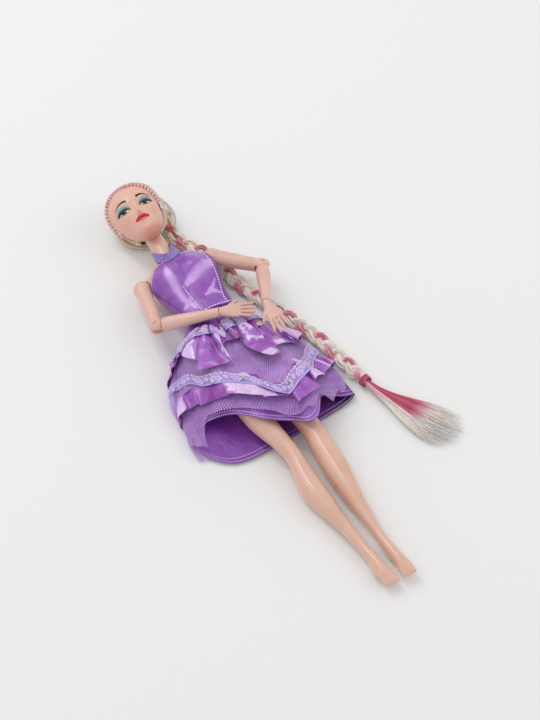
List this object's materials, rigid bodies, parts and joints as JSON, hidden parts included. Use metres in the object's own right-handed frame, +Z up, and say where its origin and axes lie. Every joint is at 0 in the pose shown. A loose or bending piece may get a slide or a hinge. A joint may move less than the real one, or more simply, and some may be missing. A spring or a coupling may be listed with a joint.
{
  "type": "jointed fashion doll",
  "caption": "Jointed doll in a gathered party dress, lying on its back: head, shoulders, elbows, wrists and hips turn, and its braid lies beside it.",
  "frame": {"origin": "middle of the flat seat of the skirt on the floor, under the hips", "axes": "+Y from the feet to the crown of the head, +Z up, out of the front of the body, +X to the doll's left"},
  "size_m": [0.1351, 0.2935, 0.0338],
  "materials": {
    "arm_skin": "soft satin flesh-tone vinyl",
    "leg_skin": "glossy flesh-tone vinyl",
    "face_skin": "matt flesh-tone vinyl with painted features",
    "hard_plastic": "hard moulded body plastic",
    "hair": "pale blonde synthetic hair",
    "hair_tips": "synthetic hair fading from crimson to silver",
    "elastic": "thin elastic band",
    "satin": "purple satin",
    "lilac_satin": "purple satin with lilac sheen",
    "ribbon": "matt violet ribbon",
    "tulle": "translucent purple tulle",
    "lace": "pale lilac lace",
    "lining": "deep purple lining cloth",
    "hook_tape": "hook-and-loop tape",
    "crystal": "clear faceted rhinestone",
    "gold": "gold-pearl bead"
  },
  "bodies": {
    "torso": {"torso_front": "hard_plastic", "torso_back": "hard_plastic", "hip_axle": "hard_plastic", "bodice_front": "satin", "bodice_back_right": "satin", "bodice_back_left": "satin", "back_closure_strip": "hook_tape", "halter_strap_right": "ribbon", "halter_strap_left": "ribbon", "skirt_lining": "lining", "tulle_ruffle_upper": "tulle", "satin_ruffle_upper": "lilac_satin", "tulle_ruffle_lower": "tulle", "satin_ruffle_lower": "lilac_satin", "lace_trim_upper": "lace", "lace_trim_lower": "lace", "rhinestone_1": "crystal", "rhinestone_2": "crystal", "rhinestone_3": "crystal", "rhinestone_4": "crystal", "pearl_bead": "gold", "braid": "hair", "hair_tail": "hair_tips", "braid_tie": "elastic"},
    "neck": {"neck_knob": "hard_plastic"},
    "head": {"head": "face_skin", "hair_cap": "hair"},
    "right_shoulder": {"shoulder_peg_right": "hard_plastic"},
    "right_upper_arm": {"upper_arm_right": "arm_skin", "elbow_pin_right": "hard_plastic"},
    "right_forearm": {"forearm_right": "arm_skin"},
    "right_hand": {"hand_right": "arm_skin"},
    "right_leg": {"leg_right": "leg_skin"},
    "left_shoulder": {"shoulder_peg_left": "hard_plastic"},
    "left_upper_arm": {"upper_arm_left": "arm_skin", "elbow_pin_left": "hard_plastic"},
    "left_forearm": {"forearm_left": "arm_skin"},
    "left_hand": {"hand_left": "arm_skin"},
    "left_leg": {"leg_left": "leg_skin"}
  },
  "joints": [
    {"name": "neck_turn", "type": "hinge", "parent": "torso", "child": "neck", "pos_m": [0, 0.101, 0.0148], "axis": [0, 1, 0], "range_deg": [-40, 40], "deforming": ["braid"]},
    {"name": "head_nod", "type": "hinge", "parent": "neck", "child": "head", "pos_m": [0, 0.101, 0.0148], "axis": [1, 0, 0], "range_deg": [-12, 10], "deforming": ["braid"]},
    {"name": "right_shoulder_swing", "type": "hinge", "parent": "torso", "child": "right_shoulder", "pos_m": [-0.0228, 0.066, 0.0134], "axis": [-1, 0, 0], "range_deg": [0, 110]},
    {"name": "right_shoulder_raise", "type": "hinge", "parent": "right_shoulder", "child": "right_upper_arm", "pos_m": [-0.0228, 0.066, 0.0134], "axis": [0, 0, -1], "range_deg": [0, 75]},
    {"name": "right_elbow_bend", "type": "hinge", "parent": "right_upper_arm", "child": "right_forearm", "pos_m": [-0.0296, 0.03752, 0.01775], "axis": [0.235, -0.2015, -0.9509], "range_deg": [0, 76], "deforming": ["skirt_lining", "tulle_ruffle_upper", "satin_ruffle_upper", "lace_trim_upper", "lace_trim_lower", "pearl_bead", "rhinestone_4"]},
    {"name": "right_wrist_turn", "type": "hinge", "parent": "right_forearm", "child": "right_hand", "pos_m": [0.00192, 0.02088, 0.02907], "axis": [0.8429, -0.445, 0.3026], "range_deg": [-30, 30], "deforming": ["pearl_bead"]},
    {"name": "right_hip_swing", "type": "hinge", "parent": "torso", "child": "right_leg", "pos_m": [-0.0104, 0.001, 0.0128], "axis": [-1, 0, 0], "range_deg": [0, 85], "deforming": ["skirt_lining", "tulle_ruffle_upper", "satin_ruffle_upper", "tulle_ruffle_lower", "satin_ruffle_lower", "lace_trim_upper", "lace_trim_lower", "rhinestone_1", "rhinestone_2", "rhinestone_3", "rhinestone_4", "pearl_bead"]},
    {"name": "left_shoulder_swing", "type": "hinge", "parent": "torso", "child": "left_shoulder", "pos_m": [0.0228, 0.066, 0.0134], "axis": [-1, 0, 0], "range_deg": [0, 110]},
    {"name": "left_shoulder_raise", "type": "hinge", "parent": "left_shoulder", "child": "left_upper_arm", "pos_m": [0.0228, 0.066, 0.0134], "axis": [0, 0, 1], "range_deg": [0, 40]},
    {"name": "left_elbow_bend", "type": "hinge", "parent": "left_upper_arm", "child": "left_forearm", "pos_m": [0.04388, 0.04523, 0.014], "axis": [0.2442, 0.2748, 0.93], "range_deg": [0, 76]},
    {"name": "left_wrist_turn", "type": "hinge", "parent": "left_forearm", "child": "left_hand", "pos_m": [0.02792, 0.01416, 0.02737], "axis": [-0.4267, -0.8307, 0.3575], "range_deg": [-30, 30], "deforming": ["satin_ruffle_upper", "pearl_bead"]},
    {"name": "left_hip_swing", "type": "hinge", "parent": "torso", "child": "left_leg", "pos_m": [0.0104, 0.001, 0.0128], "axis": [-1, 0, 0], "range_deg": [0, 85], "deforming": ["skirt_lining", "tulle_ruffle_upper", "satin_ruffle_upper", "tulle_ruffle_lower", "satin_ruffle_lower", "lace_trim_upper", "lace_trim_lower", "rhinestone_1", "rhinestone_2", "rhinestone_3", "rhinestone_4", "pearl_bead"]}
  ]
}
